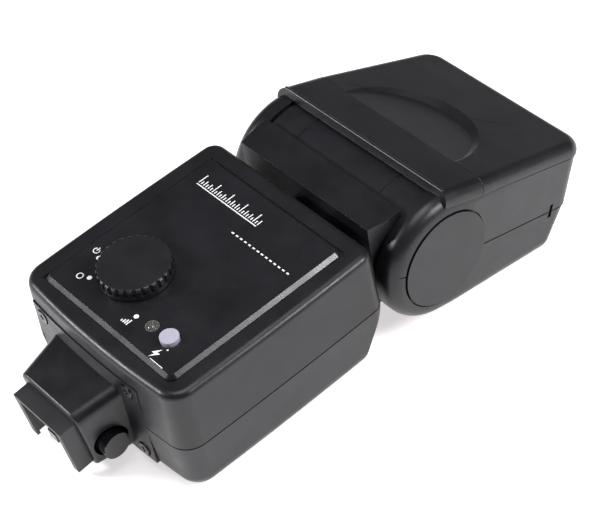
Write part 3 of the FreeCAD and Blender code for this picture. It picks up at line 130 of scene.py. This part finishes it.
def moulded(name, color, rough, grain=1800.0, depth=0.35, specular=0.5, mottle=0.25):
    """Moulded plastic: spark-eroded grain, a slow drift in gloss, and faint handling marks."""
    material, shader = new_material(name, color, rough)
    tree = material.node_tree
    shader.inputs["Specular IOR Level"].default_value = specular
    slow = noise(tree, 45.0, 3.0)
    dark = tuple(channel * (1 - mottle) for channel in color)
    light = tuple(channel * (1 + mottle) for channel in color)
    tree.links.new(tint(tree, slow.outputs["Fac"], dark, light), shader.inputs["Base Color"])
    patchy = noise(tree, 130.0, 5.0)
    gloss = spread(tree, patchy.outputs["Fac"], rough - 0.05, rough + 0.06)
    tree.links.new(gloss, shader.inputs["Roughness"])
    fine = noise(tree, grain, 2.0)
    add_bump(tree, shader, fine.outputs["Fac"], depth, 0.00008)
    return material


def metal(name, color, rough, stretch=(1.0, 1.0, 1.0), scratch=900.0):
    material, shader = new_material(name, color, rough, 1.0)
    tree = material.node_tree
    lines = noise(tree, scratch, 3.0, 0.7, stretch)
    tree.links.new(spread(tree, lines.outputs["Fac"], rough - 0.08, rough + 0.12), shader.inputs["Roughness"])
    dark = tuple(channel * 0.82 for channel in color)
    tree.links.new(tint(tree, lines.outputs["Fac"], dark, color), shader.inputs["Base Color"])
    add_bump(tree, shader, lines.outputs["Fac"], 0.15, 0.00005)
    return material


def clear(name, color, rough, ribs=0.0):
    material, shader = new_material(name, color, rough)
    tree = material.node_tree
    shader.inputs["Transmission Weight"].default_value = 0.92
    shader.inputs["IOR"].default_value = 1.49
    haze = noise(tree, 160.0, 3.0)
    tree.links.new(spread(tree, haze.outputs["Fac"], rough, rough + 0.08), shader.inputs["Roughness"])
    if ribs:
        coords = tree.nodes.new("ShaderNodeTexCoord")
        wave = tree.nodes.new("ShaderNodeTexWave")
        wave.bands_direction = "Z"
        wave.inputs["Scale"].default_value = ribs
        tree.links.new(coords.outputs["Object"], wave.inputs["Vector"])
        add_bump(tree, shader, wave.outputs["Fac"], 0.9, 0.0004)
    else:
        add_bump(tree, shader, haze.outputs["Fac"], 0.1, 0.0001)
    return material


BLACK = (0.0075, 0.0075, 0.0095)
case_black = moulded("case_black", BLACK, 0.36, specular=0.42)
looks = {
    "case_plastic": case_black,
    "panel_plastic": moulded("panel_black", (0.0085, 0.0085, 0.0105), 0.3, grain=2400.0, depth=0.2),
    "dial_plastic": moulded("dial_black", (0.012, 0.012, 0.0135), 0.34, grain=2600.0, depth=0.2),
    "button_grey": moulded("button_lilac", (0.40, 0.385, 0.47), 0.38, depth=0.15, mottle=0.04),
    "lamp_clear": clear("lamp_clear", (0.86, 0.88, 0.84), 0.03),
    "lens_clear": clear("lens_clear", (0.93, 0.95, 0.97), 0.05, ribs=260.0),
    "tube_glass": clear("tube_glass", (0.95, 0.96, 0.98), 0.02),
    "reflector_metal": metal("reflector_bright", (0.88, 0.88, 0.88), 0.16),
    "screw_steel": metal("screw_dark_steel", (0.16, 0.16, 0.17), 0.34),
    "axle_steel": metal("axle_steel", (0.52, 0.52, 0.53), 0.3, (1.0, 14.0, 14.0)),
    "spring_steel": metal("spring_steel", (0.6, 0.6, 0.61), 0.28),
    "nickel": metal("nickel", (0.74, 0.72, 0.68), 0.22),
    "sole_metal": metal("sole_bright", (0.9, 0.89, 0.87), 0.24, (1.0, 1.0, 18.0)),
    "contact_brass": metal("contact_gilt", (0.78, 0.6, 0.28), 0.25),
    "winding": metal("winding", (0.6, 0.3, 0.12), 0.35, (40.0, 1.0, 1.0)),
    "board_green": moulded("board_green", (0.02, 0.11, 0.045), 0.35, grain=900.0),
    "chip_black": moulded("chip_black", (0.02, 0.02, 0.02), 0.5, grain=3000.0),
    "switch_black": moulded("switch_black", (0.03, 0.03, 0.03), 0.4),
    "capacitor_sleeve": moulded("capacitor_sleeve", (0.01, 0.013, 0.05), 0.22),
    "transformer_core": moulded("transformer_tape", (0.45, 0.36, 0.08), 0.45),
    "tray_plastic": moulded("tray_black", (0.03, 0.03, 0.033), 0.5),
    "cell_jacket": moulded("cell_jacket", (0.05, 0.11, 0.08), 0.28),
    "gloss_black": moulded("gloss_black", (0.008, 0.008, 0.009), 0.12, grain=600.0, depth=0.05),
    "sensor_red": moulded("sensor_red", (0.09, 0.003, 0.004), 0.08, grain=600.0, depth=0.03),
    "foot_plastic": moulded("foot_black", (0.016, 0.016, 0.018), 0.45),
}
ink = moulded("white_ink", (0.84, 0.84, 0.86), 0.5, grain=2500.0, depth=0.2, mottle=0.05)

slot_of = {part["node"]: part["material_slot"] for part in frame["record"]["subparts"]}
for name, node in nodes.items():
    node.data.materials.clear()
    node.data.materials.append(looks[slot_of[name]])

# ---------------------------------------------------------------- soft moulded edges on the plastic parts

EDGE_SOFTNESS = {
    "back_cover": 0.25, "front_shell": 0.25, "control_panel": 0.25, "shoe_pedestal": 0.25, "shoe_foot": 0.15,
    "neck_housing": 0.5, "head_upper_casing": 0.25, "head_lower_casing": 0.25, "head_top_cover": 0.25,
    "hinge_cover_left": 0.45, "hinge_cover_right": 0.45, "pilot_button": 0.45, "lock_button": 0.35,
    "battery_door": 0.2, "power_dial": 0.18,
}
for name, width in EDGE_SOFTNESS.items():
    node = nodes[name]
    weld = node.modifiers.new("weld", "WELD")
    weld.merge_threshold = 0.00002
    soften = node.modifiers.new("soften", "BEVEL")
    soften.width = width * MM
    soften.segments = 3
    soften.limit_method = "ANGLE"
    soften.angle_limit = math.radians(28)
    soften.use_clamp_overlap = True
    soften.harden_normals = False
    node.modifiers.new("even_shading", "WEIGHTED_NORMAL").keep_sharp = True

# ---------------------------------------------------------------- printed marks


def flat_piece(name, outlines, low, height, place, material, body):
    """Thin raised shapes that start at z = low; an outline is a list of (x, y) in millimetres."""
    mesh = bpy.data.meshes.new(name)
    build = bmesh.new()
    for outline in outlines:
        face = build.faces.new([build.verts.new((x * MM, y * MM, low * MM)) for x, y in outline])
        raised = bmesh.ops.extrude_face_region(build, geom=[face])
        lifted = [item for item in raised["geom"] if isinstance(item, bmesh.types.BMVert)]
        bmesh.ops.translate(build, vec=(0, 0, height * MM), verts=lifted)
    bmesh.ops.recalc_face_normals(build, faces=build.faces)
    build.to_mesh(mesh)
    build.free()
    mesh.transform(place)
    mesh.materials.append(material)
    piece = bpy.data.objects.new(name, mesh)
    bpy.context.collection.objects.link(piece)
    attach(piece, body)
    return piece


def disc_outline(x, y, radius, count=28):
    turns = [2 * math.pi * step / count for step in range(count)]
    return [(x + radius * math.cos(turn), y + radius * math.sin(turn)) for turn in turns]


def bar_outline(x, y, length, width, degrees=0.0):
    along = Vector((math.cos(math.radians(degrees)), math.sin(math.radians(degrees))))
    across = Vector((-along.y, along.x))
    middle = Vector((x, y))
    return [tuple(middle + along * (length / 2 * a) + across * (width / 2 * b))
            for a, b in ((-1, -1), (1, -1), (1, 1), (-1, 1))]


def arc_bars(x, y, radius, width, start, finish, count):
    """A ring or arc drawn as short overlapping bars."""
    bars = []
    step = (finish - start) / count
    for number in range(count):
        angle = math.radians(start + step * (number + 0.5))
        chord = 2 * radius * math.sin(math.radians(abs(step)) / 2) * 1.15
        middle = (x + radius * math.cos(angle), y + radius * math.sin(angle))
        bars.append(bar_outline(*middle, chord, width, math.degrees(angle) + 90))
    return bars


from_row_frame = body_frame.inverted()
panel_face = max((from_row_frame @ vertex.co).z for vertex in nodes["control_panel"].data.vertices) / MM
INK_HEIGHT = 0.05
DOT_RADIUS = 0.75
RING_RADIUS = 0.95
STROKE = 0.32
LINE = 0.34

index_dots = [disc_outline(x, y, DOT_RADIUS) for x, y in ((-21.6, 19.4), (-17.5, 12.9), (4.0, 12.8))]
button_dot = disc_outline(20.0, 11.0, 0.28)
power_on = arc_bars(-24.3, 20.7, RING_RADIUS, STROKE, 125, 415, 14)
power_on.append(bar_outline(-24.3, 21.4, 1.4, LINE, 90))
power_off = arc_bars(-20.2, 11.6, RING_RADIUS, STROKE, 0, 360, 16)
rising_bars = []
for number in range(4):
    tall = 0.7 + 0.5 * number
    rising_bars.append(bar_outline(1.9 + 0.75 * number, 9.0 + tall / 2, tall, 0.4, 90))
bolt = [(18.9, 10.2), (17.1, 7.8), (18.2, 7.8), (17.5, 6.0), (19.6, 8.6), (18.5, 8.6)]
underline = bar_outline(21.2, 6.0, 5.4, 0.22)
panel_marks = [*index_dots, button_dot, *power_on, *power_off, *rising_bars, bolt, underline]
flat_piece("panel_marks", panel_marks, panel_face, INK_HEIGHT, body_frame, ink, "body")

TICKS = 27
SCALE_LEFT = -23.0
SCALE_BASE = 57.0
DASHES = 14
DASH_PITCH = 1.8
scale_marks = []
for number in range(TICKS):
    tall = 3.6 if number % 6 == 0 else 2.0 if number % 2 == 0 else 1.2
    scale_marks.append(bar_outline(SCALE_LEFT + number, SCALE_BASE + 0.6 + tall / 2, tall, LINE, 90))
scale_marks.append(bar_outline(SCALE_LEFT + (TICKS - 1) / 2, SCALE_BASE, TICKS - 0.6, LINE))
for number in range(DASHES):
    scale_marks.append(bar_outline(0.2 + number * DASH_PITCH, 51.0, 0.9, 0.5))
flat_piece("exposure_scale", scale_marks, panel_face, INK_HEIGHT, body_frame, ink, "body")

# ---------------------------------------------------------------- floor, light and camera

floor_mesh = bpy.data.meshes.new("floor")
build = bmesh.new()
bmesh.ops.create_grid(build, x_segments=1, y_segments=1, size=6.0)
build.to_mesh(floor_mesh)
build.free()
floor = bpy.data.objects.new("floor", floor_mesh)
bpy.context.collection.objects.link(floor)
floor_paint, shader = new_material("floor_white", (0.9, 0.9, 0.9), 0.8)
grain = noise(floor_paint.node_tree, 3.0, 2.0)
paper = tint(floor_paint.node_tree, grain.outputs["Fac"], (0.88, 0.87, 0.875), (0.9, 0.89, 0.895))
floor_paint.node_tree.links.new(paper, shader.inputs["Base Color"])
shader.inputs["Emission Color"].default_value = (1.0, 0.965, 0.965, 1.0)
shader.inputs["Emission Strength"].default_value = 0.62
floor_mesh.materials.append(floor_paint)

world = bpy.data.worlds.new("studio")
bpy.context.scene.world = world
world.use_nodes = True
world.node_tree.nodes["Background"].inputs["Color"].default_value = (0.93, 0.94, 1.0, 1.0)
world.node_tree.nodes["Background"].inputs["Strength"].default_value = 0.12


def area_light(name, place, target, size, size_y, power, color=(1.0, 1.0, 1.0)):
    lamp = bpy.data.lights.new(name, "AREA")
    lamp.shape = "RECTANGLE"
    lamp.size = size
    lamp.size_y = size_y
    lamp.energy = power
    lamp.color = color
    thing = bpy.data.objects.new(name, lamp)
    thing.location = place
    thing.rotation_euler = (Vector(target) - Vector(place)).to_track_quat("-Z", "Y").to_euler()
    bpy.context.collection.objects.link(thing)


area_light("top_softbox", (0.05, 0.0, 1.3), (0, 0, 0), 0.8, 0.8, 9.0)
area_light("edge_light_right", (0.8, 0.5, 0.75), (0, 0, 0), 0.22, 0.3, 10.5, (1.0, 0.97, 0.99))
area_light("edge_light_foot", (-0.72, -0.85, 0.6), (0, 0, 0), 0.3, 0.22, 13.0, (0.96, 0.97, 1.0))

camera_data = bpy.data.cameras.new("camera")
camera_data.sensor_width = 36.0
camera_data.lens = 118.48
camera_data.clip_start = 0.01
camera = bpy.data.objects.new("camera", camera_data)
CAMERA_IN_BODY_FRAME = Vector((339.92, -153.57, 416.33)) * MM
camera.location = body_frame @ CAMERA_IN_BODY_FRAME
CAMERA_TURN = (46.805, 3.840, 48.613)
camera.rotation_euler = tuple(math.radians(angle) for angle in CAMERA_TURN)
bpy.context.collection.objects.link(camera)
bpy.context.scene.camera = camera
bpy.context.scene.view_settings.view_transform = "Standard"
